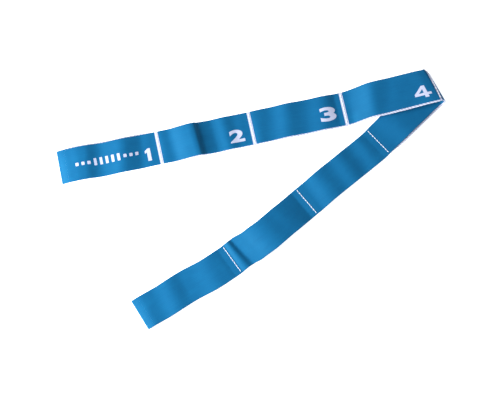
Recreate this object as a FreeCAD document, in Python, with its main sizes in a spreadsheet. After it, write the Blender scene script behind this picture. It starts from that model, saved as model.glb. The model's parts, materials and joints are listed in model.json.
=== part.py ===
"""Stretching strap: one ring of elastic webbing, flattened and cross-sewn into eight loops.

The strap rests folded in half at the seam between loops 4 and 5.  Loops 5 to 8 lie on the
floor with their printed face down.  Loops 4 to 1 run back over them with their printed face
up, and come down to the floor beyond the crossing.

Each loop has a frame of its own: s runs outward from the fold along the loop, y lies across
the webbing and z is the height above the floor.  A loop starts at a hinge line, where the
webbing flexes beside a seam, and ends just short of the next one.  The origin of the part is
the centre of its footprint, on the floor.
"""

import FreeCAD, Part
import math
import os
import Sketcher
from FreeCAD import Placement, Rotation, Vector

DIMENSIONS = {
    "web_width": 40,
    "web_thick": 1.2,
    "pitch": 114.5,
    "pitch_4": 113.6,
    "pitch_5": 96.7,
    "pitch_1": 118,
    "pitch_8": 124.5,
    "loop_gap": 4.6,
    "flat_run": 7,
    "ramp_run": 14,
    "landing_run": 29,
    "crossing_run": 74,
    "crossing_clear": 0.4,
    "bend_radius": 7.2,
    "bend_angle": 88,
    "sewn_run": 4,
    "wedge_angle": 21,
    "hinge_clear": 0.3,
    "slide_clear": 0.05,
    "tip_bore": 0.6,
    "stitch_rise": 0.3,
    "stitch_wide": 0.8,
    "stitch_long": 2.6,
    "stitch_row": 36,
    "stitch_count": 10,
    "heading_1": 191.2,
    "heading_2": 192.5,
    "heading_3": 192.0,
    "heading_4": 192.9,
    "heading_5": 224.5,
    "heading_6": 221.1,
    "heading_7": 218.4,
    "heading_8": 211.6,
    "bend_x": 218.9,
    "bend_y": 137.4,
}

# Loops in order outward from the fold: the upper half and the lower half.
UPPER_HALF = [4, 3, 2, 1]
LOWER_HALF = [5, 6, 7, 8]

# Lengths that several outlines share, as expressions on the sheet.
WEDGE_RUN = "dims.web_thick / tan(dims.wedge_angle)"
SEAM_POINT = "dims.sewn_run + (dims.web_thick - dims.stitch_rise) / tan(dims.wedge_angle)"
SEAM_RUN = f"{SEAM_POINT} + dims.hinge_clear"
SEAM_TOP = "dims.web_thick * 2 - dims.stitch_rise"
FOLD_TOP = "dims.bend_radius * 2"
CROSSING = "dims.web_thick * 2 + dims.loop_gap + dims.crossing_clear"

doc = FreeCAD.newDocument("stretching_strap")
dims = doc.addObject("Spreadsheet::Sheet", "dims")
nodes = []


def fill_sheet():
    """Write every driving dimension to its own named cell."""
    for row, (alias, amount) in enumerate(DIMENSIONS.items(), start=1):
        dims.set(f"A{row}", str(amount))
        dims.setAlias(f"A{row}", alias)
    doc.recompute()


def size(expression):
    """The number that an expression on the sheet gives."""
    result = dims.evalExpression(expression)
    return float(getattr(result, "Value", result))


def heading(loop):
    return size(f"dims.heading_{loop}")


def between(loop_a, loop_b):
    """The heading halfway between those of two loops."""
    return (heading(loop_a) + heading(loop_b)) / 2


def direction(degrees):
    angle = math.radians(degrees)
    return Vector(math.cos(angle), math.sin(angle), 0)


def standing(point, degrees):
    """A frame at a point of the floor whose s axis points along a heading."""
    return Placement(point, Rotation(Vector(0, 0, 1), degrees))


def mitre(loop_a, loop_b):
    """How far a square end stands back from the hinge line where the headings differ."""
    half_turn = math.radians(abs(heading(loop_a) - heading(loop_b)) / 2)
    return size("dims.web_width") / 2 * math.tan(half_turn)


def pitch(loop):
    """Length of a loop from one hinge line to the next, or to the strap's end."""
    alias = f"pitch_{loop}" if f"pitch_{loop}" in DIMENSIONS else "pitch"
    return size(f"dims.{alias}")


def loop_starts(half):
    """The point of the floor where each loop of a half starts, and where the last ends."""
    point = Vector(size("dims.bend_x"), size("dims.bend_y"), 0)
    points = [point]
    for loop in half:
        point = point + direction(heading(loop)) * pitch(loop)
        points.append(point)
    return points


def plane_of(body, role):
    return next(f for f in body.Origin.OriginFeatures if f.Role == role)


def side_sketch(body, name, corners):
    """A closed side outline whose corners are bound to expressions on the sheet."""
    sketch = body.newObject("Sketcher::SketchObject", name)
    sketch.AttachmentSupport = [(plane_of(body, "XZ_Plane"), "")]
    sketch.MapMode = "FlatFace"
    points = [Vector(size(along), size(up), 0) for along, up in corners]
    count = len(points)
    for i in range(count):
        sketch.addGeometry(Part.LineSegment(points[i], points[(i + 1) % count]), False)
    for i in range(count):
        sketch.addConstraint(Sketcher.Constraint("Coincident", i, 2, (i + 1) % count, 1))
    for i, (along, up) in enumerate(corners):
        bind_distance(sketch, "DistanceX", i, points[i].x, along)
        bind_distance(sketch, "DistanceY", i, points[i].y, up)
    return sketch


def bind_distance(sketch, kind, line, amount, expression):
    """Hold the first point of a line at a bound distance from the sketch's origin."""
    index = sketch.addConstraint(Sketcher.Constraint(kind, -1, 1, line, 1, amount))
    sketch.setExpression(f"Constraints[{index}]", expression)


def band(name, corners, placement):
    """A piece of webbing: its side outline padded evenly to both sides of the middle."""
    body = doc.addObject("PartDesign::Body", name)
    pad = body.newObject("PartDesign::Pad", f"{name}_pad")
    pad.Profile = side_sketch(body, f"{name}_side", corners)
    pad.SideType = "Symmetric"
    pad.setExpression("Length", "dims.web_width")
    body.Tip = pad
    body.Placement = placement
    return body


def keep(item, label):
    """Put a finished piece on the list that is written out, under its own name."""
    item.Label = label
    nodes.append(item)


def layer(underside, wedge):
    """Close an underside into a layer one webbing thick, with or without a wedge start.

    The wedge points up in a layer on the floor and down in the layer above it.
    """
    inner = list(underside)
    outer = [(along, f"{up} + dims.web_thick") for along, up in underside]
    if wedge == "up":
        inner[0] = (f"{inner[0][0]} + {WEDGE_RUN}", inner[0][1])
    if wedge == "down":
        outer[0] = (f"{outer[0][0]} + {WEDGE_RUN}", outer[0][1])
    return inner + outer[::-1]


def flat_layer(start, end, wedge):
    return layer([(start, "0"), (end, "0")], wedge)


def arched_layer(start, end, wedge):
    """The upper layer, which leaves the loop open between its two sewn ends."""
    low = "dims.web_thick"
    high = "dims.web_thick + dims.loop_gap"
    foot = f"{end} - dims.flat_run / 2"
    underside = [
        (start, low),
        (f"{start} + dims.flat_run", low),
        (f"{start} + dims.flat_run + dims.ramp_run", high),
        (f"{foot} - dims.ramp_run", high),
        (foot, low),
        (end, low),
    ]
    return layer(underside, wedge)


def crossing_back_layer(start, end):
    """The underside layer of loop 4: off the fold, level over loop 5, down to the floor."""
    underside = [
        (start, f"{FOLD_TOP} - dims.web_thick * 2"),
        ("dims.flat_run", f"{FOLD_TOP} - dims.web_thick * 2"),
        ("dims.flat_run + dims.ramp_run", CROSSING),
        ("dims.crossing_run", CROSSING),
        ("dims.crossing_run + dims.landing_run", "0"),
        (end, "0"),
    ]
    return layer(underside, None)


def crossing_front_layer(start, end):
    """The printed layer of loop 4: level off the fold, then down to the floor."""
    underside = [
        (start, f"{FOLD_TOP} - dims.web_thick"),
        ("dims.crossing_run", f"{FOLD_TOP} - dims.web_thick"),
        ("dims.crossing_run + dims.landing_run", "dims.web_thick"),
        (end, "dims.web_thick"),
    ]
    return layer(underside, None)


def seam_strip(label, placement):
    """Both layers pressed together and sewn, ending in a wedge at the hinge line."""
    corners = [
        ("0", "dims.stitch_rise"),
        ("dims.sewn_run", "dims.stitch_rise"),
        (SEAM_POINT, "dims.web_thick"),
        ("dims.sewn_run", SEAM_TOP),
        ("0", SEAM_TOP),
    ]
    keep(band(label, corners, placement), label)


def seam_thread(label, placement):
    """A row of lock-stitches: runs of thread on the top and the underside of a strip."""
    body = doc.addObject("PartDesign::Body", label)
    body.AllowCompound = True
    near = "dims.sewn_run / 2 - dims.stitch_wide / 2"
    far = "dims.sewn_run / 2 + dims.stitch_wide / 2"
    pads = []
    for side, base in (("under", "0"), ("top", SEAM_TOP)):
        top = f"{base} + dims.stitch_rise"
        corners = [(near, base), (far, base), (far, top), (near, top)]
        pad = body.newObject("PartDesign::Pad", f"{label}_{side}_pad")
        pad.Profile = side_sketch(body, f"{label}_{side}", corners)
        pad.setExpression("Length", "dims.stitch_long")
        pads.append(pad)
        doc.recompute()
    row = body.newObject("PartDesign::LinearPattern", f"{label}_row")
    row.Originals = pads
    row.Direction = (plane_of(body, "XZ_Plane"), [""])
    row.setExpression("Length", "dims.stitch_row - dims.stitch_long")
    row.setExpression("Occurrences", "dims.stitch_count")
    body.Tip = row
    body.Placement = placement
    doc.recompute()
    off_middle = placement.inverse().multVec(body.Shape.BoundBox.Center).y
    body.Placement = placement * Placement(Vector(0, -off_middle, 0), Rotation())
    keep(body, label)


def end_fold(label, placement):
    """The tight half turn of the webbing that closes the strap's end."""
    tubes = []
    for name, radius in (("outer", "dims.tip_bore + dims.web_thick"), ("bore", "dims.tip_bore")):
        tube = doc.addObject("Part::Cylinder", f"{label}_{name}")
        tube.setExpression("Radius", radius)
        tube.setExpression("Height", "dims.web_width")
        tube.Angle = 180
        tubes.append(tube)
    turn = doc.addObject("Part::Cut", label)
    turn.Base, turn.Tool = tubes
    rise = size("dims.tip_bore + dims.web_thick")
    lying = Rotation(Vector(0, 0, -1), Vector(1, 0, 0), Vector(0, -1, 0), "XYZ")
    corner = Vector(0, size("dims.web_width") / 2, rise)
    turn.Placement = placement * Placement(corner, lying)
    keep(turn, label)


def fill_loop(loop, start_point, start, end, wedged, printed_down):
    """The two layers of a plain loop: one on the floor, one arched over it."""
    placement = standing(start_point, heading(loop))
    faces = ("front", "back") if printed_down else ("back", "front")
    low = flat_layer(start, end, "up" if wedged else None)
    high = arched_layer(start, end, "down" if wedged else None)
    for face, corners in zip(faces, (low, high)):
        label = f"loop_{loop}_{face}"
        keep(band(label, corners, placement), label)


def loop_end(loop, following):
    """Where a loop's layers stop, as a number: short of the seam or of the end fold."""
    if following is None:
        return pitch(loop) - size("dims.tip_bore + dims.web_thick")
    return pitch(loop) - size(SEAM_RUN) - mitre(loop, following)


def make_half(half, printed_down):
    """The loops of one half beyond the first, and every seam and end fold of the half."""
    starts = loop_starts(half)
    for i, loop in enumerate(half):
        following = half[i + 1] if i + 1 < len(half) else None
        end = f"{loop_end(loop, following)} - dims.slide_clear"
        if i > 0:
            start = f"{mitre(half[i - 1], loop)} + dims.hinge_clear"
            fill_loop(loop, starts[i], start, end, True, printed_down)
        if following is None:
            tip = starts[i] + direction(heading(loop)) * loop_end(loop, None)
            end_fold(f"end_fold_{loop}", standing(tip, heading(loop)))
        else:
            seam_after(loop, following, starts[i + 1])


def seam_after(loop, following, hinge_point):
    """The seam strip and thread that end at the hinge line between two loops."""
    angle = between(loop, following)
    placement = standing(hinge_point - direction(angle) * size(SEAM_RUN), angle)
    low, high = sorted((loop, following))
    seam_strip(f"seam_{low}_{high}", placement)
    seam_thread(f"seam_{low}_{high}_thread", placement)


def fold_frame():
    """The frame of the fold: s points inward between the two halves, y along the crease."""
    return standing(loop_starts(UPPER_HALF)[0], between(4, 5))


def crease_length():
    skew = math.radians(abs(heading(4) - heading(5)) / 2)
    return size("dims.web_width") / math.cos(skew)


def quarter_bend(name, outer, inner, upward):
    """A quarter turn of webbing about the fold's middle line, from one side to its apex."""
    half_crease = crease_length() / 2
    rise = size("dims.bend_radius")
    up = 1 if upward else -1
    turned = Rotation(Vector(0, 0, up), Vector(-1, 0, 0), Vector(0, -up, 0), "XYZ")
    tubes = []
    for part, radius in (("outer", outer), ("inner", inner)):
        tube = doc.addObject("Part::Cylinder", f"{name}_bend_{part}")
        tube.setExpression("Radius", radius)
        tube.Height = crease_length()
        tube.setExpression("Angle", "dims.bend_angle")
        tube.Placement = fold_frame() * Placement(Vector(0, up * half_crease, rise), turned)
        tubes.append(tube)
    bend = doc.addObject("Part::Cut", f"{name}_bend")
    bend.Base, bend.Tool = tubes
    return bend


def fold_block(name, near, far, low, high, across):
    """A block in the fold's frame, between two distances inward and two heights."""
    block = doc.addObject("Part::Box", name)
    block.Length = far - near
    block.Width = across
    block.Height = high - low
    block.Placement = fold_frame() * Placement(Vector(near, -across / 2, low), Rotation())
    return block


def trimmed(piece, name, until):
    """Cut a layer off along the crease, so that it starts a set distance inward."""
    reach = size("dims.web_width") * 2
    height = size("dims.bend_radius") * 4
    cutter = fold_block(f"{name}_trim", -reach, until, -height, height, reach * 2)
    cut = doc.addObject("Part::Cut", f"{name}_cut")
    cut.Base = piece
    cut.Tool = cutter
    return cut


def make_loop_5():
    """The two layers of loop 5, each with its quarter of the fold's bend."""
    start_point = loop_starts(LOWER_HALF)[0]
    placement = standing(start_point, heading(5))
    start = f"{-mitre(4, 5)} - dims.hinge_clear"
    end = f"{loop_end(5, 6)} - dims.slide_clear"
    layers = (
        ("loop_5_front", flat_layer(start, end, None), 0),
        ("loop_5_back", arched_layer(start, end, None), 1),
    )
    for label, corners, depth in layers:
        piece = trimmed(band(f"{label}_run", corners, placement), label, 0)
        outer = f"dims.bend_radius - {depth} * dims.web_thick"
        bend = quarter_bend(label, outer, f"{outer} - dims.web_thick", False)
        whole = doc.addObject("Part::Fuse", label)
        whole.Base = piece
        whole.Tool = bend
        keep(whole, label)


def make_loop_4():
    """The two layers of loop 4, and the seam between loops 4 and 5 at the top of the bend."""
    placement = standing(loop_starts(UPPER_HALF)[0], heading(4))
    start = f"{-mitre(4, 5)}"
    end = f"{loop_end(4, 3)} - dims.slide_clear"
    sewn = size("dims.sewn_run")
    layers = (
        ("loop_4_back", crossing_back_layer(start, end)),
        ("loop_4_front", crossing_front_layer(start, end)),
    )
    for label, corners in layers:
        keep(trimmed(band(f"{label}_run", corners, placement), label, sewn), label)
    rise = size("dims.stitch_rise")
    top = size(FOLD_TOP)
    low = top - size("dims.web_thick") * 2
    outer = "dims.bend_radius - dims.stitch_rise"
    inner = "dims.bend_radius - dims.web_thick * 2 + dims.stitch_rise"
    bend = quarter_bend("seam_4_5", outer, inner, True)
    strip = fold_block("seam_4_5_strip", 0, sewn, low + rise, top - rise, crease_length())
    seam = doc.addObject("Part::Fuse", "seam_4_5")
    seam.Base = bend
    seam.Tool = strip
    keep(seam, "seam_4_5")
    raised = Placement(Vector(0, 0, low), Rotation())
    seam_thread("seam_4_5_thread", fold_frame() * raised)


def check_document():
    """Stop if any object failed, or if a finished piece is missing or not valid."""
    doc.recompute()
    for item in doc.Objects:
        if "Invalid" in item.State or "Error" in item.State:
            raise RuntimeError(f"{item.Name} failed: {item.State}")
    for item in nodes:
        if item.Shape.isNull() or not item.Shape.isValid():
            raise RuntimeError(f"{item.Label} has no valid shape")


def write_parts():
    os.makedirs("parts", exist_ok=True)
    for item in nodes:
        item.Shape.exportStep(f"parts/{item.Label}.step")


fill_sheet()
make_loop_5()
make_half(LOWER_HALF, printed_down=True)
make_loop_4()
make_half(UPPER_HALF, printed_down=False)
check_document()
write_parts()
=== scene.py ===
"""A stretching strap for physiotherapy: one ring of 40 mm elastic webbing, sewn across into eight loops.

The ring is laid flat and folded over once at the seam between loops 4 and 5. Loops 4 to 1 run out from
the fold with the printed web on top, and loops 5 to 8 run out under them with the plain web on top.
Each lay of the strap is two webs, a low one and an up one, and every web is made as a ribbon: its middle
surface is a formula of how far it is from the fold (run) and from the strap's centreline (across).
"""

import json
import math
import random

import bmesh
import bpy
import numpy as np
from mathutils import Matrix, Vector


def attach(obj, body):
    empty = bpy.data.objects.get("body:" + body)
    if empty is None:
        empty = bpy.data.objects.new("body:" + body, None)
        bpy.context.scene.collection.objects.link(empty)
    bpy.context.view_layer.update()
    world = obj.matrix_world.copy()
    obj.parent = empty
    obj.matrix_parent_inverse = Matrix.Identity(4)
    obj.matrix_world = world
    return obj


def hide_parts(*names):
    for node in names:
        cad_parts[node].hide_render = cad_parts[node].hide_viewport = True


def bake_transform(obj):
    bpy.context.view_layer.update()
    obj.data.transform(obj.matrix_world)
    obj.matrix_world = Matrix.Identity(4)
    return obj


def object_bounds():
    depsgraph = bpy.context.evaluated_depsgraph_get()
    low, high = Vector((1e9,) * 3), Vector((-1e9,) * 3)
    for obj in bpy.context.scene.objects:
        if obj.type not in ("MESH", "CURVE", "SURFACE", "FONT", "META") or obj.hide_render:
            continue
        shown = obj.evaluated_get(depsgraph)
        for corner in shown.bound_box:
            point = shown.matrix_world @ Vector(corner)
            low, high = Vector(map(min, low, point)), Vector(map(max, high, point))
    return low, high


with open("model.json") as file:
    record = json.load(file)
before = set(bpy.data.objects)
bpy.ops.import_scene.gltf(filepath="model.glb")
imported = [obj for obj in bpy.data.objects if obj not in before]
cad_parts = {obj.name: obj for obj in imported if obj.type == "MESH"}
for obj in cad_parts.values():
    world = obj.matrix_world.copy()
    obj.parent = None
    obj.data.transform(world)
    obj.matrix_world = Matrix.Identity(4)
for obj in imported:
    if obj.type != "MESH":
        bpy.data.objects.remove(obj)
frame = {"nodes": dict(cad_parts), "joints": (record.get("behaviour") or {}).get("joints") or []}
cad_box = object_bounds()

# Sizes, in metres ---------------------------------------------------------------------------------------
MM = 0.001
WEB_WIDE = 40 * MM
WEB_THICK = 1.2 * MM
WEB_LIFT = 0.15 * MM  # the low web's underside, over the floor
BEND_R = 7.2 * MM  # outside of the fold between loops 4 and 5
HINGE_BACK = 7.5 * MM  # from the fold's hinge line to the middle of its bend
SEAM_BEFORE = 6.64 * MM  # a sewn strip starts this far before its hinge line
SEAM_AFTER = 3.5 * MM  # and the next loop's webs start this far after it
STRIPE_BEFORE = 4.64 * MM  # middle of the white stripe, before the hinge line
STRIPE_WIDE = 4.0 * MM  # it starts where the sewn strip does
FLEX_HALF = 2.6 * MM  # half the length that bends at a hinge line
END_RUN = 9 * MM  # the strap's end piece, from the last ribbon to the turn
END_GAP = 0.35 * MM  # between the webs inside the end turn
END_TURN = 1.5 * MM  # from the middle of that turn to the strap's end
EDGE_ROUND = 0.6 * MM
RIB_PITCH = 3.8 * MM  # slanted ribs of the white inner face
RIB_HIGH = 0.10 * MM
PRINT_HIGH = 0.14 * MM
PRINT_SINK = 0.1 * MM  # how far the print's underside goes into the web
ROW_STEP = 0.9 * MM
TURN_ROWS = 15  # round an end turn
FOLD_ROWS = 61  # round the fold
STRIPE_STEP = 0.5 * MM  # rows are closer at a stripe
FLEX_STEP = 0.6 * MM  # and where a web bends at a hinge
NEARBY = 0.2 * MM  # a short way along or across a web, to find its directions
RIB_EDGE = 15.2 * MM  # the ribs start to show this far from the centreline
RIB_FADE = 2 * MM
INNER_THIN = 0.08  # the inner face lies this share nearer the middle surface
LAST = 3  # number of a half's end loop, counted from 0 at the fold
PAST_END = 500 * MM  # further out than any half reaches

HALF_ACROSS = [20, 19.9, 19.7, 19.4, 18.9, 18.2, 17.4, 16.6, 15.8, 14, 12, 10, 8, 6, 4, 2]
ACROSS = MM * np.array([-x for x in HALF_ACROSS] + [0] + HALF_ACROSS[::-1])

JOINTS = {j["name"]: j for j in frame["joints"]}
UP = np.array([0.0, 0.0, 1.0])


# Curves by given points ----------------------------------------------------------------------------------
def smoothstep(t):
    t = np.clip(t, 0, 1)
    return t * t * (3 - 2 * t)


def eased(points, x):
    """The value at x of a curve that is level at each of its (x, value) points."""
    px, pv = np.array(points, float).T
    x = np.clip(x, px[0], px[-1])
    i = np.clip(np.searchsorted(px, x, side="right") - 1, 0, len(px) - 2)
    return pv[i] + (pv[i + 1] - pv[i]) * smoothstep((x - px[i]) / (px[i + 1] - px[i]))


def rounded(points, x, reach):
    """The value at x of the straight runs between (x, value) points, averaged over reach each side."""
    px, pv = np.array(points, float).T
    spots = np.linspace(-reach, reach, 15)
    share = np.cos(spots / reach * math.pi / 2) ** 2
    return sum(w * np.interp(x + d, px, pv) for d, w in zip(spots, share)) / share.sum()


# How each loop's up web waves: (share of the loop outward from the fold, tilt), where a tilt above 0 falls
# outward, and one below 0 rises outward.
WAVES = {
    1: [(0, 0.3), (0.1, 0.5), (0.2, -0.4), (0.26, -0.4), (0.42, 0.8), (0.5, 0.6), (0.67, -0.9),
        (0.75, -0.1), (0.88, 0.5), (1, 1.0)],
    2: [(0, 0.1), (0.08, 0.3), (0.17, -0.3), (0.29, 0.8), (0.33, 0.6), (0.4, -0.3), (0.48, -0.6),
        (0.53, -3.2), (0.56, -0.2), (0.62, 0.6), (0.76, 1.0), (0.87, -0.2), (1, 0.9)],
    3: [(0, -0.2), (0.07, -0.6), (0.25, 0.55), (0.5, -0.5), (0.65, 0.45), (0.83, -0.65), (1, 0.8)],
    4: [(0, 0), (0.1, 0.2), (0.22, 0.05), (0.42, 0.3), (0.56, -0.1), (0.73, 0.65), (0.95, 0.1), (1, 0)],
    5: [(0, 0), (0.5, -0.5), (0.72, 0), (0.92, -0.6), (1, -0.6)],
    6: [(0, 0.3), (0.06, 0.4), (0.17, 0.9), (0.33, 0), (0.46, 0.5), (0.62, -0.4), (0.8, 0.4), (0.95, -0.5),
        (1, -0.5)],
    7: [(0, 0.5), (0.1, 0.5), (0.28, 0.5), (0.43, 0), (0.66, 0.3), (0.76, -0.2), (0.81, -0.5),
        (0.86, -2.8), (0.92, -0.2), (0.95, 0.3), (1, 0.2)],
    8: [(0, 0), (0.1, 0.3), (0.28, 0.8), (0.45, 0.4), (0.55, -0.1), (0.7, 0.6), (0.84, 0), (1, 0.9)],
}
TILT_LIT = 0.36  # slope of a web where its tilt is 1
TILT_SHADED = 0.28  # and where its tilt is -1
WAVE_STEP = 0.25 * MM
WAVE_BLUR = 2 * MM  # each side of a point
SKEW_REACH = 15 * MM  # waves turn from square at a seam to their skew over this length
LOW_FOLLOWS = 0.65  # share of those waves that the low web follows
CROWN = 0.10  # share by which a wave is lower at the web's edges than along its middle
HUMP_LEAST = 0.4 * MM
HUMP_FROM = 0.2  # only where the hump is over this share of its height do the waves set it
BASE_ROUND = 9 * MM  # the base height is averaged over this much run each side
SQUARE_BY = 34 * MM  # rows are square to the strap again this far from the fold
SKEW = {1: -0.10, 2: 0.05, 3: -0.15, 4: -0.30, 5: 0.10, 6: -0.10, 7: 0.12, 8: -0.10}


class Half:
    """One lay of the strap: its centreline in plan, its slant at the fold and its two webs' heights."""

    def __init__(self, loops, flexes, end_node, slant, spread, base, bow, shift):
        fold = JOINTS["fold_4_5"]
        crease = -np.array(fold["axis"])
        inward = np.cross(crease, UP)
        self.bend = np.array(fold["pos_m"]) + inward * HINGE_BACK
        self.inward, self.loops = inward, loops
        knots = [self.bend[:2]] + [np.array(JOINTS[name]["pos_m"][:2]) for name in flexes]
        last = np.array(JOINTS[f"stretch_{loops[-1]}"]["axis"][:2])
        tip = [np.array(v.co[:2]) for v in frame["nodes"][end_node].data.vertices]
        knots.append(knots[-1] + last * max(float((p - knots[-1]) @ last) for p in tip))
        self.knots = np.array(knots)
        chords = np.diff(self.knots, axis=0)
        lengths = np.linalg.norm(chords, axis=1)
        self.at = np.concatenate([[0], np.cumsum(lengths)])
        ways = chords / lengths[:, None]
        ends = np.vstack([ways[:1], ways[:-1] + ways[1:], ways[-1:]])
        self.ways = ends / np.linalg.norm(ends, axis=1)[:, None]
        self.slant, self.spread, self.base_points, self.bow, self.shift = slant, spread, base, bow, shift
        self.make_waves()

    def share(self, run):
        """How many loops out from the fold."""
        return np.interp(run, self.at, np.arange(len(self.at)))

    def line(self, run):
        """The centreline's points and its unit directions, in plan."""
        i = np.clip(np.searchsorted(self.at, run, side="right") - 1, 0, LAST)
        size = (self.at[i + 1] - self.at[i])[..., None]
        t = ((run - self.at[i]) / size[..., 0])[..., None]
        a, b, va, vb = self.knots[i], self.knots[i + 1], self.ways[i] * size, self.ways[i + 1] * size
        place = (
            (2 * t**3 - 3 * t**2 + 1) * a + (t**3 - 2 * t**2 + t) * va
            + (3 * t**2 - 2 * t**3) * b + (t**3 - t**2) * vb
        )
        way = (
            (6 * t**2 - 6 * t) * (a - b) + (3 * t**2 - 4 * t + 1) * va + (3 * t**2 - 2 * t) * vb
        )
        return place, way / np.linalg.norm(way, axis=-1, keepdims=True)

    def free_run(self, i):
        """Where the two webs of loop number i are free of each other."""
        return self.at[i] + (SEAM_AFTER if i else 0), self.at[i + 1] - (SEAM_BEFORE if i < LAST else 0)

    def make_waves(self):
        """A fine table of how far the waves lift the up web between its seams.

        A hump over the whole loop is just high enough to keep its waves above the low web.
        """
        self.fine = np.arange(0, self.at[-1] + MM, WAVE_STEP)
        lift = np.zeros_like(self.fine)
        for i, loop in enumerate(self.loops):
            start, stop = self.free_run(i)
            inside = (self.fine >= start) & (self.fine <= stop)
            share = (self.fine[inside] - self.at[i]) / (self.at[i + 1] - self.at[i])
            t = (self.fine[inside] - start) / (stop - start)
            tilt = eased(WAVES[loop], share)
            wave = np.cumsum(-np.where(tilt > 0, TILT_LIT, TILT_SHADED) * tilt) * WAVE_STEP
            wave -= wave[0] + (wave[-1] - wave[0]) * t
            arch = np.sin(math.pi * t)
            middle = arch > HUMP_FROM
            hump = max(HUMP_LEAST, float(np.max(-wave[middle] / arch[middle])))
            lift[inside] = np.maximum(0, wave + hump * arch)
        blur = np.cos(np.linspace(-math.pi / 2, math.pi / 2, 2 * round(WAVE_BLUR / WAVE_STEP) + 1)) ** 2
        self.wave_table = np.convolve(lift, blur / blur.sum(), mode="same")

    def wave(self, run, across):
        """How far the waves lift the up web."""
        seen = run + 0 * across
        for i, loop in enumerate(self.loops):
            start, stop = self.free_run(i)
            away = smoothstep((run - start) / SKEW_REACH) * smoothstep((stop - run) / SKEW_REACH)
            seen = seen + SKEW[loop] * across * away
        crown = 1 - CROWN * (across / (WEB_WIDE / 2)) ** 2
        return np.interp(seen, self.fine, self.wave_table) * crown

    def height(self, layer, run, across):
        """The middle of a web over the floor."""
        base = rounded(self.base_points, run, BASE_ROUND) + WEB_LIFT
        wave = self.wave(run, across)
        low = base + WEB_THICK / 2 + LOW_FOLLOWS * wave
        end_gap = END_GAP * smoothstep((run - self.at[-1] + 2 * END_RUN) / END_RUN)
        return low if layer == "low" else low + WEB_THICK + end_gap + (1 - LOW_FOLLOWS) * wave

    def plan(self, layer, run, across):
        """Where a point of a web lies in plan.

        Rows run along the crease at the fold, and square to the strap further out.
        """
        place, way = self.line(run)
        normal = np.stack([-way[..., 1], way[..., 0]], axis=-1)
        off = across * eased(self.spread, self.share(run)) + self.offset(layer, run)
        slant = self.slant * (1 - smoothstep(run / SQUARE_BY))
        return place + normal * off[..., None] + way * (off * slant)[..., None]

    def offset(self, layer, run):
        """How far a web lies to the side of the centreline."""
        side = eased(self.bow, self.share(run)) * MM
        return side + (eased(self.shift, self.share(run)) * MM if layer == "low" else 0)

    def web(self, layer, run, across):
        """Points of a web's middle surface, for arrays run and across of one shape."""
        run, across = np.broadcast_arrays(run, across)
        plan = self.plan(layer, run, across)
        return np.concatenate([plan, self.height(layer, run, across)[..., None]], axis=-1)


def crease_slant(stretch_name):
    """How far a row along the crease runs along the strap, for each unit across it."""
    way = np.array(JOINTS[stretch_name]["axis"])
    crease = -np.array(JOINTS["fold_4_5"]["axis"])
    return float(crease @ way) / float(crease @ np.cross(UP, way))


# spread widens a web, and bow and shift move it sideways in mm: (loops out from the fold, value) points.
# base is how high the low web lies: (run, height) points.
upper = Half(
    loops=(4, 3, 2, 1),
    flexes=("flex_3_4", "flex_2_3", "flex_1_2"),
    end_node="end_fold_1",
    slant=crease_slant("stretch_4"),
    spread=[(0, 1.035), (0.6, 1.055), (1, 1.035), (3, 1.035), (3.5, 1.045), (4, 1.045)],
    base=[(0, 12 * MM), (8 * MM, 11.9 * MM), (34 * MM, 9.4 * MM), (74 * MM, 8 * MM), (102 * MM, 0),
          (PAST_END, 0)],
    bow=[(0, -3.2), (0.65, -2.3), (1, -0.5), (1.6, -0.5), (2, 0), (3, 0), (3.4, 1.4), (4, 1.4)],
    shift=[(0, 1.7), (0.3, 2.1), (0.75, 1.7), (1, 1.2), (1.5, 1.4), (2, 0.7), (2.5, 0.3), (3, -0.3),
           (3.15, -1.6), (3.85, -1.6), (4, -0.4)],
)
lower = Half(
    loops=(5, 6, 7, 8),
    flexes=("flex_5_6", "flex_6_7", "flex_7_8"),
    end_node="end_fold_8",
    slant=crease_slant("stretch_5"),
    spread=[(0, 1.035), (1, 1.02), (1.5, 1.015), (4, 1.015)],
    base=[(0, 0), (PAST_END, 0)],
    bow=[(0, 0), (0.85, 0.3), (1.02, 1.2), (1.35, 0), (1.6, -0.7), (1.95, -0.5), (2.25, 0.7), (2.52, 1.9),
         (2.68, 1.0), (2.83, -1.3), (3, -0.4), (3.2, 0), (3.45, -1.7), (3.75, 0), (4, 0)],
    shift=[(0, 2.2), (0.7, 2.1), (1, -0.3), (4, -0.5)],
)


# Meshes -------------------------------------------------------------------------------------------------
TUBE_SIDES = 8


def link(name, mesh, materials):
    obj = bpy.data.objects.new(name, mesh)
    bpy.context.scene.collection.objects.link(obj)
    for m in materials:
        mesh.materials.append(m)
    return obj


def normals_of(mid):
    n = np.cross(np.gradient(mid, axis=0), np.gradient(mid, axis=1))
    return n / np.linalg.norm(n, axis=-1, keepdims=True)


def ribs(run, across):
    """The slanted ribs of the white inner face, which show along its edges."""
    near_edge = smoothstep((np.abs(across) - RIB_EDGE) / RIB_FADE)
    return RIB_HIGH * near_edge * np.sin(2 * math.pi * (run + across) / RIB_PITCH)


def set_uv(mesh, spots):
    """The UV map of the materials: each vertex's run and across, in metres."""
    uv = mesh.uv_layers.new(name="web")
    corner_vertex = np.zeros(len(mesh.loops), int)
    mesh.loops.foreach_get("vertex_index", corner_vertex)
    uv.data.foreach_set("uv", np.array(spots)[corner_vertex].ravel())


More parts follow.
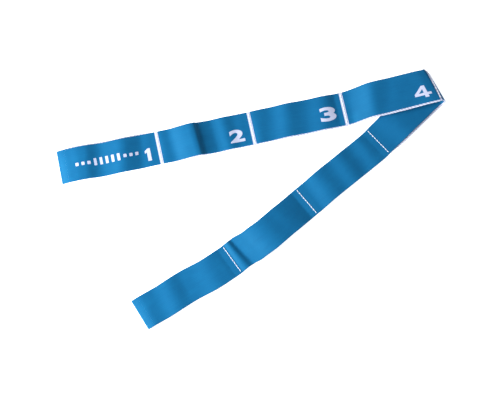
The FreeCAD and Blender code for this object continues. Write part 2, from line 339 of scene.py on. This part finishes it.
def ribbon_faces(run, cols, count, stripe):
    """The faces between rows of count vertices, and their material slots; cols of each row are outside."""
    faces, slots = [], []
    for i in range(len(run) - 1):
        striped = stripe and stripe[0] < (run[i] + run[i + 1]) / 2 < stripe[1]
        for j in range(count):
            k = (j + 1) % count
            faces.append((i * count + j, i * count + k, (i + 1) * count + k, (i + 1) * count + j))
            slots.append((2 if striped else 0) if j < cols - 1 else 1)
    for i in (0, len(run) - 1):
        for j in range(cols - 1):
            corners = dict.fromkeys((j, j + 1, (count - j - 1) % count, (count - j) % count))
            faces.append(tuple(i * count + v for v in corners))
            slots.append(1)
    return faces, slots


def ribbon(name, mid, run, across, outer, materials, stripe=None):
    """A closed web round its middle surface mid, an array of rows by columns by 3.

    outer is 1 where the coloured face is on the normal's side, else -1. stripe gives the two runs between
    which the outer face is white. The materials are the outer face's, the inner face's and the stripe's.
    """
    rows, cols = mid.shape[:2]
    run_grid, across_grid = np.broadcast_arrays(run[:, None], across[None, :])
    normal = normals_of(mid) * outer
    from_edge = np.clip((WEB_WIDE / 2 - np.abs(across_grid)) / EDGE_ROUND, 0, 1)
    half = WEB_THICK / 2 * np.sqrt(1 - (1 - from_edge) ** 2)
    outside = mid + normal * half[..., None]
    inside = mid - normal * (half * (1 - INNER_THIN) + ribs(run_grid, across_grid) * from_edge)[..., None]
    ring = np.concatenate([outside, inside[:, -2:0:-1]], axis=1)
    count = ring.shape[1]
    faces, slots = ribbon_faces(run, cols, count, stripe)
    mesh = bpy.data.meshes.new(name)
    mesh.from_pydata(ring.reshape(-1, 3).tolist(), [], faces)
    mesh.polygons.foreach_set("material_index", slots)
    column = np.array(list(range(cols)) + list(range(cols - 2, 0, -1)))
    set_uv(mesh, np.stack([np.repeat(run, count), np.tile(across[column], rows)], axis=-1))
    tidy_normals(mesh)
    return link(name, mesh, materials)


def tidy_normals(mesh, sharp_deg=55):
    bm = bmesh.new()
    bm.from_mesh(mesh)
    bmesh.ops.recalc_face_normals(bm, faces=bm.faces)
    bm.to_mesh(mesh)
    bm.free()
    mesh.shade_smooth()
    mesh.set_sharp_from_angle(angle=math.radians(sharp_deg))


def tubes(name, lines):
    """Round closed tubes in one mesh, from a list of (points, sides, radii), with UVs along and around."""
    verts, faces, uvs = [], [], []
    for points, side, radii in lines:
        first, count = len(verts), len(points)
        along = np.gradient(points, axis=0)
        along /= np.linalg.norm(along, axis=1, keepdims=True)
        far = np.concatenate([[0], np.cumsum(np.linalg.norm(np.diff(points, axis=0), axis=1))])
        for i in range(count):
            a = side - along[i] * (side @ along[i])
            a /= np.linalg.norm(a)
            b = np.cross(along[i], a)
            for k in range(TUBE_SIDES):
                turn = 2 * math.pi * k / TUBE_SIDES
                verts.append(points[i] + radii[i] * (a * math.cos(turn) + b * math.sin(turn)))
                uvs.append((far[i], k / TUBE_SIDES * MM))
        for i in range(count - 1):
            for k in range(TUBE_SIDES):
                n = (k + 1) % TUBE_SIDES
                row, after = first + i * TUBE_SIDES, first + (i + 1) * TUBE_SIDES
                faces.append((row + k, row + n, after + n, after + k))
        faces.append(tuple(first + k for k in range(TUBE_SIDES)))
        faces.append(tuple(first + (count - 1) * TUBE_SIDES + k for k in range(TUBE_SIDES)))
    mesh = bpy.data.meshes.new(name)
    mesh.from_pydata([tuple(v) for v in verts], [], faces)
    set_uv(mesh, uvs)
    tidy_normals(mesh, sharp_deg=80)
    return link(name, mesh, [thread_material])


# Materials ----------------------------------------------------------------------------------------------
class Nodes:
    """A material's node tree, with the few nodes that cloth and thread need."""

    def __init__(self, name, **shader):
        self.material = bpy.data.materials.new(name)
        self.material.use_nodes = True
        self.tree = self.material.node_tree
        self.shader = self.tree.nodes["Principled BSDF"]
        for socket, value in shader.items():
            self.shader.inputs[socket.replace("_", " ")].default_value = value
        uv = self.tree.nodes.new("ShaderNodeUVMap")
        uv.uv_map = "web"
        parts = self.tree.nodes.new("ShaderNodeSeparateXYZ")
        self.tree.links.new(uv.outputs["UV"], parts.inputs[0])
        self.run, self.across = parts.outputs[0], parts.outputs[1]

    def math(self, operation, a, b=0.0):
        node = self.tree.nodes.new("ShaderNodeMath")
        node.operation = operation
        for socket, value in zip(node.inputs, (a, b)):
            if isinstance(value, (int, float)):
                socket.default_value = value
            else:
                self.tree.links.new(value, socket)
        return node.outputs[0]

    def wave(self, value, pitch, shift=0.0):
        """A sine from 0 to 1 that repeats each pitch metres of value."""
        angle = self.math("ADD", self.math("MULTIPLY", value, 2 * math.pi / pitch), shift)
        return self.math("ADD", self.math("MULTIPLY", self.math("SINE", angle), 0.5), 0.5)

    def noise(self, run_scale, across_scale, seed, detail=2.0):
        """Soft noise from 0 to 1, with its own scale along the strap and across it."""
        place = self.tree.nodes.new("ShaderNodeCombineXYZ")
        for socket, value, scale in zip(place.inputs, (self.run, self.across), (run_scale, across_scale)):
            self.tree.links.new(self.math("MULTIPLY", value, scale), socket)
        place.inputs[2].default_value = seed
        node = self.tree.nodes.new("ShaderNodeTexNoise")
        node.inputs["Scale"].default_value = 1.0
        node.inputs["Detail"].default_value = detail
        self.tree.links.new(place.outputs[0], node.inputs["Vector"])
        return node.outputs[0]

    def colour(self, factor, stops):
        """The shader's colour, from (factor, linear colour) stops."""
        ramp = self.tree.nodes.new("ShaderNodeValToRGB")
        while len(ramp.color_ramp.elements) < len(stops):
            ramp.color_ramp.elements.new(0.5)
        for element, (place, rgb) in zip(ramp.color_ramp.elements, stops):
            element.position = place
            element.color = (*rgb, 1)
        self.tree.links.new(factor, ramp.inputs[0])
        self.tree.links.new(ramp.outputs[0], self.shader.inputs["Base Color"])

    def bump(self, height, distance, strength=1.0):
        node = self.tree.nodes.new("ShaderNodeBump")
        node.inputs["Distance"].default_value = distance
        node.inputs["Strength"].default_value = strength
        self.tree.links.new(height, node.inputs["Height"])
        self.tree.links.new(node.outputs[0], self.shader.inputs["Normal"])

    def roughness(self, factor, low, high):
        value = self.math("ADD", self.math("MULTIPLY", factor, high - low), low)
        self.tree.links.new(value, self.shader.inputs["Roughness"])


def woven(name, colours, warp, weft, rough, **shader):
    """A web of fine lengthwise cords that short cross picks bind: warp and weft are their pitches.

    colours goes from the valleys, painted darker as shade, to the tops, and rough is the least and the
    most roughness.
    """
    n = Nodes(name, **shader)
    cords = n.wave(n.across, warp)
    picks = n.math("MULTIPLY", n.wave(n.run, weft), n.wave(n.across, warp * 2, 0.8))
    cloth = n.math("ADD", n.math("MULTIPLY", cords, 0.6), n.math("MULTIPLY", picks, 0.4))
    streaks = n.noise(45, 900, seed=3.1)
    patches = n.noise(60, 70, seed=7.7, detail=3)
    # Painted shade between the cords and picks, mixed with random streaks and patches of tone.
    shade_and_tone = n.math("ADD", n.math("MULTIPLY", cloth, 0.34), n.math("MULTIPLY", streaks, 0.34))
    shade_and_tone = n.math("ADD", shade_and_tone, n.math("MULTIPLY", patches, 0.32))
    n.colour(shade_and_tone, list(zip((0.22, 0.5, 0.8), colours)))
    n.roughness(streaks, *rough)
    n.bump(cloth, 0.09 * MM, 0.8)
    return n.material


def ribbed_white(name):
    """The white inner face and selvage, with slanted ribs whose valleys are painted grey as shade."""
    n = Nodes(name, Specular_IOR_Level=0.35, Sheen_Weight=0.15)
    rib = n.wave(n.math("ADD", n.run, n.across), RIB_PITCH)
    cloth = n.math("MULTIPLY", n.wave(n.run, 0.7 * MM), n.wave(n.across, 0.6 * MM))
    streaks = n.noise(120, 700, seed=1.9)
    # Painted shade in the ribs' valleys and between the yarns, with random streaks of tone.
    shade_and_tone = n.math("ADD", n.math("MULTIPLY", rib, 0.55), n.math("MULTIPLY", cloth, 0.2))
    shade_and_tone = n.math("ADD", shade_and_tone, n.math("MULTIPLY", streaks, 0.25))
    n.colour(shade_and_tone, [(0.18, (0.36, 0.38, 0.50)), (0.42, (0.52, 0.54, 0.68)), (0.8, (0.62, 0.64, 0.78))])
    n.roughness(streaks, 0.5, 0.7)
    n.bump(cloth, 0.06 * MM, 0.7)
    return n.material


def twisted_thread(name):
    n = Nodes(name, Specular_IOR_Level=0.45, Sheen_Weight=0.2)
    twist = n.wave(n.math("ADD", n.run, n.math("MULTIPLY", n.across, 1.2)), 0.6 * MM)
    fluff = n.noise(900, 900, seed=5.2)
    # Painted shade in the grooves of the twist, with random fluff of tone.
    shade_and_tone = n.math("ADD", n.math("MULTIPLY", twist, 0.6), n.math("MULTIPLY", fluff, 0.4))
    n.colour(shade_and_tone, [(0.2, (0.62, 0.64, 0.76)), (0.75, (0.90, 0.92, 0.98))])
    n.roughness(fluff, 0.38, 0.55)
    n.bump(twist, 0.05 * MM)
    return n.material


# Colour stops from the weave's valleys to its tops: the darker valley stops are painted shade, mixed with
# random tone.
BLUES = ((0.003, 0.083, 0.215), (0.004, 0.104, 0.255), (0.006, 0.13, 0.30))
WHITES = ((0.44, 0.47, 0.64), (0.50, 0.53, 0.70), (0.56, 0.59, 0.76))
blue_web = woven(
    "woven_blue", BLUES, warp=0.9 * MM, weft=0.8 * MM, rough=(0.55, 0.66),
    Specular_IOR_Level=0.22, Specular_Tint=(0.40, 1.0, 0.65, 1),
)
white_stripe = woven(
    "woven_white", WHITES, warp=0.9 * MM, weft=0.8 * MM, rough=(0.5, 0.62),
    Specular_IOR_Level=0.2, Sheen_Weight=0.10,
)
white_print = woven(
    "printed_white", WHITES, warp=0.45 * MM, weft=0.8 * MM, rough=(0.45, 0.6),
    Specular_IOR_Level=0.2,
)
inner_web = ribbed_white("ribbed_white")
thread_material = twisted_thread("twisted_thread")
WEB_MATERIALS = [blue_web, inner_web, white_stripe]


# The webs -----------------------------------------------------------------------------------------------
def rows_between(start, stop, step=ROW_STEP):
    return np.linspace(start, stop, max(2, round((stop - start) / step) + 1))


def face_of(half, layer):
    """The printed face is up on loops 1 to 4, and down on loops 5 to 8."""
    return "front" if (half is upper) == (layer == "up") else "back"


def centre_at(half, run):
    place, _ = half.line(np.array([run]))
    return (*place[0], WEB_THICK)


def loop_run(half, i):
    """Where a loop's own ribbons start and stop."""
    start = half.at[i] + (SEAM_AFTER if i else 0)
    return start, half.at[i + 1] - (SEAM_BEFORE if i < LAST else END_RUN)


def follow_stretch(obj, half, i):
    """Bakes obj's place into its mesh; the centreline points at the ends of loop i are worked out but not
    used.
    """
    start, stop = loop_run(half, i)
    centre_at(half, start)
    centre_at(half, stop)
    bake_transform(obj)


def make_loop_web(half, layer, i):
    start, stop = loop_run(half, i)
    loop, face = half.loops[i], face_of(half, layer)
    run = rows_between(start, stop)
    mid = half.web(layer, run[:, None], ACROSS[None, :])
    obj = ribbon(f"web_loop_{loop}_{face}", mid, run, ACROSS, 1 if layer == "up" else -1, WEB_MATERIALS)
    follow_stretch(obj, half, i)
    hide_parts(f"loop_{loop}_{face}")


def make_seam_web(half, layer, i):
    """A web where it is sewn, between loop i of a half and the next loop, which hinges there."""
    hinge = half.at[i + 1]
    a, b = sorted((half.loops[i], half.loops[i + 1]))
    face = face_of(half, layer)
    middle = hinge - STRIPE_BEFORE
    stripe = (middle - STRIPE_WIDE / 2, middle + STRIPE_WIDE / 2)
    run = np.concatenate([rows_between(*stripe, STRIPE_STEP),
                          rows_between(stripe[1], hinge + SEAM_AFTER, FLEX_STEP)[1:]])
    mid = half.web(layer, run[:, None], ACROSS[None, :])
    outer = 1 if layer == "up" else -1
    obj = ribbon(f"web_seam_{a}_{b}_{face}", mid, run, ACROSS, outer, WEB_MATERIALS,
                 stripe if face == "front" else None)
    centre_at(half, hinge - FLEX_HALF)
    centre_at(half, hinge + FLEX_HALF)
    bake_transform(obj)
    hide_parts(f"seam_{a}_{b}")


def make_end_web(half):
    """The end of the ring, where the front web turns over and becomes the back web."""
    start, centre = half.at[-1] - END_RUN, half.at[-1] - END_TURN
    across = ACROSS[None, :]
    out = rows_between(start, centre)
    turn = np.radians(np.linspace(90, -90, TURN_ROWS))[1:-1, None]
    head, foot = (half.height(layer, np.array([[centre]]), across) for layer in ("up", "low"))
    radius = (head - foot) / 2
    reach, wide = centre + radius * np.cos(turn), across + 0 * turn
    over, below = (half.plan(layer, reach, wide) for layer in ("up", "low"))
    share = (1 - np.sin(turn))[..., None] / 2
    level = (head + foot) / 2 + radius * np.sin(turn)
    bend = np.concatenate([over * (1 - share) + below * share, level[..., None]], axis=-1)
    top, bottom = half.web("up", out[:, None], across), half.web("low", out[::-1, None], across)
    mid = np.concatenate([top, bend, bottom])
    steps = np.linalg.norm(np.diff(mid[:, len(ACROSS) // 2], axis=0), axis=1)
    run = start + np.concatenate([[0], np.cumsum(steps)])
    loop = half.loops[LAST]
    obj = ribbon(f"web_end_{loop}", mid, run, ACROSS, 1, WEB_MATERIALS)
    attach(obj, f"tip_{loop}")
    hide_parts(f"end_fold_{loop}")


# The fold between loops 4 and 5 -------------------------------------------------------------------------
FOLD_STRIPE_DEG = (36, 64)  # the stripe's rows, up from the outermost line of the bend
FOLD_STRIPE_LEAN = 27  # degrees by which a row leans off the crease at each edge, where it leans most
FOLD_CORNER = 2.2 * MM  # how far the fold's far corner draws in
CORNER_REACH = 6 * MM  # over this much of the web's width
RADIAN_DEG = 57.3  # degrees in a radian
FOLD_LAYERS = {"front": ("low", "up"), "back": ("up", "low")}


def fold_point(face, degrees, across):
    """Points of a web's middle surface round the fold: degrees is -90 on loop 5 and 90 on loop 4."""
    degrees, across = np.broadcast_arrays(degrees, across)
    below, above = FOLD_LAYERS[face]
    level = np.zeros_like(across)
    foot = lower.height(below, level, across)
    head = upper.height(above, level, across)
    share = smoothstep((degrees + 90) / 180)[..., None]
    plan = lower.plan(below, level, across) * (1 - share) + upper.plan(above, level, across) * share
    window = np.cos(np.radians(degrees))
    turn = np.radians(degrees + FOLD_STRIPE_LEAN * across / (WEB_WIDE / 2) * window)
    radius = (head - foot) / 2
    corner = FOLD_CORNER * smoothstep((-across - WEB_WIDE / 2 + CORNER_REACH) / CORNER_REACH) * window
    plan = plan - lower.inward[:2] * (radius * np.cos(turn) - corner)[..., None]
    return np.concatenate([plan, ((head + foot) / 2 + radius * np.sin(turn))[..., None]], axis=-1)


def follow_fold(obj):
    """Bakes obj's place into its mesh, at the fold with loop 5 below and loop 4 above."""
    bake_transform(obj)


def make_fold_web(face):
    degrees = np.linspace(-90, 90, FOLD_ROWS)
    mid = fold_point(face, degrees[:, None], ACROSS[None, :])
    radius = BEND_R - WEB_THICK * (0.5 if face == "front" else 1.5)
    run = np.radians(degrees) * radius
    stripe = tuple(math.radians(d) * radius for d in FOLD_STRIPE_DEG) if face == "front" else None
    obj = ribbon(f"web_fold_{face}", mid, run, ACROSS, 1 if face == "front" else -1, WEB_MATERIALS, stripe)
    follow_fold(obj)
    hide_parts("seam_4_5")


# Stitching ----------------------------------------------------------------------------------------------
STITCH_PITCH = 3.6 * MM
STITCH_COUNT = 10
STITCH_LONG = 3.3 * MM
STITCH_THICK = 0.8 * MM
STITCH_SINK = 0.22 * MM  # how far a stitch's ends go into the web
STITCH_RISE = 0.30 * MM  # from its ends to its middle
STITCH_TIP = 0.55  # its ends' radius, as a share of its middle's
STITCH_LEAN = 0.10  # slope by which a stitch may lie off its row
STITCH_STRAY = 0.1  # mm by which it may lie off its place


def stitch(middle, along, normal, rng):
    """One stitch that rises out of the web and dips back in, as a tube's points, side and radii."""
    share = np.linspace(-1, 1, 9)
    lean = np.cross(normal, along) * rng.uniform(-STITCH_LEAN, STITCH_LEAN)
    way = (along + lean) / np.linalg.norm(along + lean)
    bow = 1 - share**2
    points = middle + np.outer(share, way) * STITCH_LONG / 2
    rise = STITCH_RISE + rng.uniform(0, 0.05) * MM
    points = points + np.outer(bow, normal) * rise - normal * STITCH_SINK
    full = STITCH_TIP + (1 - STITCH_TIP) * np.sqrt(1 - share**4)
    radii = STITCH_THICK / 2 * full * rng.uniform(0.92, 1.06)
    return points, normal, radii


def stitch_spots():
    first = -(STITCH_COUNT - 1) / 2 * STITCH_PITCH
    return [first + i * STITCH_PITCH for i in range(STITCH_COUNT)]


def web_frame(at, across):
    """A web's point, its direction across and its normal, from at(across shift, run shift)."""
    here = at(across, 0.0)
    sideways = at(across + NEARBY, 0.0) - here
    onward = at(across, NEARBY) - here
    sideways /= np.linalg.norm(sideways)
    normal = np.cross(onward, sideways)
    return here, sideways, normal / np.linalg.norm(normal)


def stitch_rows(web_at, rng):
    """A row of stitches on each face of a seam: web_at(side) gives that face's web to web_frame."""
    lines = []
    for side in (1, -1):
        for across in stitch_spots():
            place = across + rng.uniform(-STITCH_STRAY, STITCH_STRAY) * MM
            here, sideways, normal = web_frame(web_at(side), place)
            lines.append(stitch(here + normal * side * WEB_THICK / 2, sideways, normal * side, rng))
    return lines


def make_seam_thread(half, i):
    """The rows of stitches on both faces of a seam."""
    a, b = sorted((half.loops[i], half.loops[i + 1]))
    rng = random.Random(f"seam {a} {b}")
    middle = half.at[i + 1] - STRIPE_BEFORE

    def web_at(side):
        layer = "up" if side > 0 else "low"
        return lambda across, onward: half.web(layer, np.array(middle + onward), np.array(across))

    obj = tubes(f"stitches_{a}_{b}", keep_off_floor(stitch_rows(web_at, rng)))
    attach(obj, f"join_{a}_{b}")
    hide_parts(f"seam_{a}_{b}_thread")


def keep_off_floor(lines):
    """Stitches under the strap are pressed flat against what it lies on."""
    pressed = []
    for points, side, radii in lines:
        points = points.copy()
        points[:, 2] = np.maximum(points[:, 2], radii)
        pressed.append((points, side, radii))
    return pressed


def make_fold_thread():
    """The rows of stitches on both faces of the seam at the fold, along the middle of its stripe."""
    rng = random.Random("seam 4 5")
    middle = sum(FOLD_STRIPE_DEG) / 2

    def web_at(side):
        face = "front" if side > 0 else "back"
        return lambda across, onward: fold_point(
            face, np.array(middle + onward / BEND_R * RADIAN_DEG), np.array(across))

    obj = tubes("stitches_4_5", stitch_rows(web_at, rng))
    follow_fold(obj)
    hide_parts("seam_4_5_thread")


# Printing -----------------------------------------------------------------------------------------------
GRID_STEP = 1.3 * MM  # print is cut along a grid this fine or finer, to follow the web
CLOSE_BY = 0.1 * MM  # a short way along or across a web, to find its normal


def digit_shape(text, wide, high, weight):
    """A digit as a flat mesh, wide by high in mm, about its middle. weight thickens its strokes."""
    wide, high = wide * MM, high * MM
    curve = bpy.data.curves.new(f"digit_{text}", "FONT")
    curve.body = text
    curve.offset = weight
    curve.resolution_u = 6
    source = bpy.data.objects.new("digit_source", curve)
    bpy.context.scene.collection.objects.link(source)
    bpy.context.view_layer.update()
    mesh = bpy.data.meshes.new_from_object(source)
    bpy.data.objects.remove(source)
    bm = bmesh.new()
    bm.from_mesh(mesh)
    bpy.data.meshes.remove(mesh)
    bmesh.ops.remove_doubles(bm, verts=bm.verts, dist=1e-5)
    xs, ys = [v.co.x for v in bm.verts], [v.co.y for v in bm.verts]
    for v in bm.verts:
        v.co.x = ((v.co.x - min(xs)) / (max(xs) - min(xs)) - 0.5) * wide
        v.co.y = ((v.co.y - min(ys)) / (max(ys) - min(ys)) - 0.5) * high
        v.co.z = 0
    return bm


def one_shape():
    """A heavy figure one, with a slanted flag, about its middle."""
    outline = [(2.4, 0), (6.8, 0), (6.8, 15), (3.8, 15), (0, 12.4), (0, 9.4), (2.4, 10.5)]
    bm = bmesh.new()
    bm.faces.new([bm.verts.new(((x - 3.4) * MM, (y - 7.5) * MM, 0)) for x, y in outline])
    return bm


def four_shape():
    """A heavy figure four, open between its diagonal, stem and bar, about its middle."""
    left, stem, stem_end, right = 0, 10.8, 15.0, 19.4
    bar, bar_top, open_left, open_top, high = 2.8, 5.6, 5.0, 10.6, 14.6
    points = {
        "bar_left": (left, bar), "bar_stem": (stem, bar), "stem_foot": (stem, 0),
        "end_foot": (stem_end, 0), "bar_end": (stem_end, bar), "bar_right": (right, bar),
        "top_right": (right, bar_top), "top_end": (stem_end, bar_top), "peak_end": (stem_end, high),
        "peak": (stem, high), "top_left": (left, bar_top), "open_stem": (stem, bar_top),
        "open_peak": (stem, open_top), "open_left": (open_left, bar_top),
    }
    faces = [
        ("bar_left", "bar_stem", "open_stem", "open_left", "top_left"),
        ("stem_foot", "end_foot", "bar_end", "bar_stem"),
        ("bar_stem", "bar_end", "top_end", "open_stem"),
        ("bar_end", "bar_right", "top_right", "top_end"),
        ("open_stem", "top_end", "peak_end", "peak", "open_peak"),
        ("top_left", "open_left", "open_peak", "peak"),
    ]
    bm = bmesh.new()
    middle_x, middle_y = right / 2, high / 2
    verts = {
        k: bm.verts.new(((x - middle_x) * MM, (y - middle_y) * MM, 0)) for k, (x, y) in points.items()
    }
    for face in faces:
        bm.faces.new([verts[k] for k in face])
    return bm


def block_shape(wide, high, middle, corner):
    """A rounded rectangle about (middle, 0)."""
    bm = bmesh.new()
    verts = []
    for sx, sy, start in ((1, 1, 0), (-1, 1, 90), (-1, -1, 180), (1, -1, 270)):
        for step in range(4):
            turn = math.radians(start + 30 * step)
            x = middle + sx * (wide / 2 - corner) + corner * math.cos(turn)
            verts.append(bm.verts.new((x, sy * (high / 2 - corner) + corner * math.sin(turn), 0)))
    bm.faces.new(verts)
    return bm


def cut_in_grid(bm):
    """Cuts a flat shape along a grid, so that it can follow a curved web."""
    for axis in (0, 1):
        values = [v.co[axis] for v in bm.verts]
        low, high = min(values), max(values)
        count = int((high - low) / GRID_STEP)
        for i in range(1, count + 1):
            place, normal = Vector((0, 0, 0)), Vector((0, 0, 0))
            place[axis] = low + (high - low) * i / (count + 1)
            normal[axis] = 1
            whole = bm.verts[:] + bm.edges[:] + bm.faces[:]
            bmesh.ops.bisect_plane(bm, geom=whole, plane_co=place, plane_no=normal)


def gather(shapes):
    """One mesh from flat shapes, each cut along a grid."""
    gathered = bmesh.new()
    for bm in shapes:
        cut_in_grid(bm)
        part = bpy.data.meshes.new("part")
        bm.to_mesh(part)
        bm.free()
        gathered.from_mesh(part)
        bpy.data.meshes.remove(part)
    return gathered


def make_print(name, shapes, half, i, run_middle, across_middle):
    """Raised white print on the coloured face of loop i, from flat shapes about a point of that web."""
    layer = "up" if half is upper else "low"
    side, reading = (1, -1) if half is upper else (-1, 1)
    whole = bpy.data.meshes.new(name)
    gathered = gather(shapes)
    raised = bmesh.ops.extrude_face_region(gathered, geom=gathered.faces[:], use_keep_orig=True)["geom"]
    top = {v for v in raised if isinstance(v, bmesh.types.BMVert)}
    verts = list(gathered.verts)
    flat = np.array([v.co[:2] for v in verts])
    high = np.array([PRINT_HIGH if v in top else -PRINT_SINK for v in verts])
    run = run_middle + reading * flat[:, 0]
    across = across_middle - flat[:, 1]
    here = half.web(layer, run, across)
    onward = half.web(layer, run + CLOSE_BY, across) - here
    sideways = half.web(layer, run, across + CLOSE_BY) - here
    normal = np.cross(onward, sideways)
    normal *= side / np.linalg.norm(normal, axis=1, keepdims=True)
    places = here + normal * (WEB_THICK / 2 + high)[:, None]
    layer_uv = gathered.loops.layers.uv.new("web")
    index = {v: k for k, v in enumerate(verts)}
    for f in gathered.faces:
        for corner in f.loops:
            k = index[corner.vert]
            corner[layer_uv].uv = (run[k], across[k])
    for v, place in zip(verts, places):
        v.co = place
    gathered.to_mesh(whole)
    gathered.free()
    tidy_normals(whole, sharp_deg=40)
    obj = link(name, whole, [white_print])
    follow_stretch(obj, half, i)


DIGIT_PLACES = {  # a digit's middle: from the stripe or fold beside it, and across, in mm
    "1": (14.5, 5.5), "2": (19.4, 6.0), "3": (20.5, 3.1), "4": (13.2, 6.2),
    "5": (18.5, 4.5), "6": (18.5, 4.5), "7": (18.5, 4.5), "8": (18.5, 4.5),
}
DIGIT_SIZES = {  # width and height in mm, and the weight of its strokes
    "2": (18.0, 15.4, 0.04), "3": (19.4, 17.2, 0.035), "5": (17.0, 15.4, 0.03),
    "6": (17.0, 15.4, 0.015), "7": (16.0, 15.4, 0.03), "8": (17.0, 15.4, 0.01),
}
DRAWN = {"1": one_shape, "4": four_shape}


def make_digits():
    for text, (along, across) in DIGIT_PLACES.items():
        half = upper if int(text) <= 4 else lower
        i = half.loops.index(int(text))
        if half is lower:
            run = half.at[i + 1] - STRIPE_BEFORE - along * MM
        else:
            run = half.at[i] + along * MM - (STRIPE_BEFORE if i else 0)
        shape = DRAWN[text]() if text in DRAWN else digit_shape(text, *DIGIT_SIZES[text])
        make_print(f"print_{text}", [shape], half, i, run, across * MM)


MARK_PITCH = 7.2 * MM
MARK_MIDDLE = (64.2 * MM, 1.2 * MM)  # from the stripe, and across
DOT_WIDE = 3.9 * MM
DOTS_FROM = 22.1 * MM  # from the mark's middle to its first dot each way
BAR_WIDE = 3.4 * MM
BAR_HIGH = 8.6 * MM


def make_strength_mark():
    """The row of plain marks on loop 1: three dots, five bars and three dots."""
    shapes = []
    for side in (-1, 1):
        for k in range(3):
            shapes.append(block_shape(DOT_WIDE, DOT_WIDE, side * (DOTS_FROM + k * MARK_PITCH), 0.8 * MM))
    for k in range(-2, 3):
        shapes.append(block_shape(BAR_WIDE, BAR_HIGH, k * MARK_PITCH, 0.5 * MM))
    along, across = MARK_MIDDLE
    make_print("print_mark", shapes, upper, LAST, upper.at[LAST] - STRIPE_BEFORE + along, across)


# Building -----------------------------------------------------------------------------------------------
VIEW_WIDE = 0.6015  # width of the view, at the strap
VIEW_UP_DEG = 76  # the camera's height over the floor, as an angle
AIM_LEFT = 1.1 * MM  # the camera aims this far left of the strap's middle
SENSOR_MM, LENS_MM = 36, 180
SKY, SKY_STRENGTH = (0.93, 0.96, 1.0, 1), 0.27
LIGHTS = {  # place in metres, size in metres and power in watts
    "key": ((-1.5, -0.5, 0.8), 1.0, 103),
    "fill": ((2.2, -0.9, 1.3), 2.0, 22),
}
FLOOR_HALF = 4  # metres
FLOOR_GLOW = 0.75


def make_camera():
    """Long lens, square on to the strap's length and 14 degrees off straight down."""
    data = bpy.data.cameras.new("camera")
    data.sensor_width = SENSOR_MM
    data.lens = LENS_MM
    camera = bpy.data.objects.new("camera", data)
    bpy.context.scene.collection.objects.link(camera)
    tilt = math.radians(VIEW_UP_DEG)
    low, high = cad_box
    aim = Vector(((low.x + high.x) / 2 - AIM_LEFT, (low.y + high.y) / 2, 0))
    away = Vector((0, -math.cos(tilt), math.sin(tilt)))
    camera.location = aim + away * VIEW_WIDE * data.lens / data.sensor_width
    camera.rotation_mode = "QUATERNION"
    camera.rotation_quaternion = (-away).to_track_quat("-Z", "Y")
    data.clip_end = 20
    bpy.context.scene.camera = camera


def make_light(name, place, size, power):
    data = bpy.data.lights.new(name, "AREA")
    data.shape = "SQUARE"
    data.size = size
    data.energy = power
    light = bpy.data.objects.new(name, data)
    bpy.context.scene.collection.objects.link(light)
    light.location = place
    light.rotation_mode = "QUATERNION"
    light.rotation_quaternion = (-Vector(place)).to_track_quat("-Z", "Y")


def make_studio():
    scene = bpy.context.scene
    scene.view_settings.view_transform = "Standard"
    world = bpy.data.worlds.new("pale")
    world.use_nodes = True
    world.node_tree.nodes["Background"].inputs[0].default_value = SKY
    world.node_tree.nodes["Background"].inputs[1].default_value = SKY_STRENGTH
    scene.world = world
    for name, (place, size, power) in LIGHTS.items():
        make_light(name, place, size, power)
    mesh = bpy.data.meshes.new("floor")
    corners = [(x * FLOOR_HALF, y * FLOOR_HALF, 0) for x, y in ((-1, -1), (1, -1), (1, 1), (-1, 1))]
    mesh.from_pydata(corners, [], [(0, 1, 2, 3)])
    paper = bpy.data.materials.new("paper")
    paper.use_nodes = True
    shader = paper.node_tree.nodes["Principled BSDF"]
    shader.inputs["Base Color"].default_value = (0.92, 0.92, 0.92, 1)
    shader.inputs["Roughness"].default_value = 0.9
    shader.inputs["Specular IOR Level"].default_value = 0.1
    shader.inputs["Emission Color"].default_value = (1, 1, 1, 1)
    shader.inputs["Emission Strength"].default_value = FLOOR_GLOW
    link("floor", mesh, [paper])


def make_strap():
    for half in (lower, upper):
        for i in range(LAST + 1):
            for layer in ("low", "up"):
                make_loop_web(half, layer, i)
        for i in range(LAST):
            for layer in ("low", "up"):
                make_seam_web(half, layer, i)
            make_seam_thread(half, i)
        make_end_web(half)
    for face in ("front", "back"):
        make_fold_web(face)
    make_fold_thread()
    make_digits()
    make_strength_mark()


make_camera()
make_studio()
make_strap()
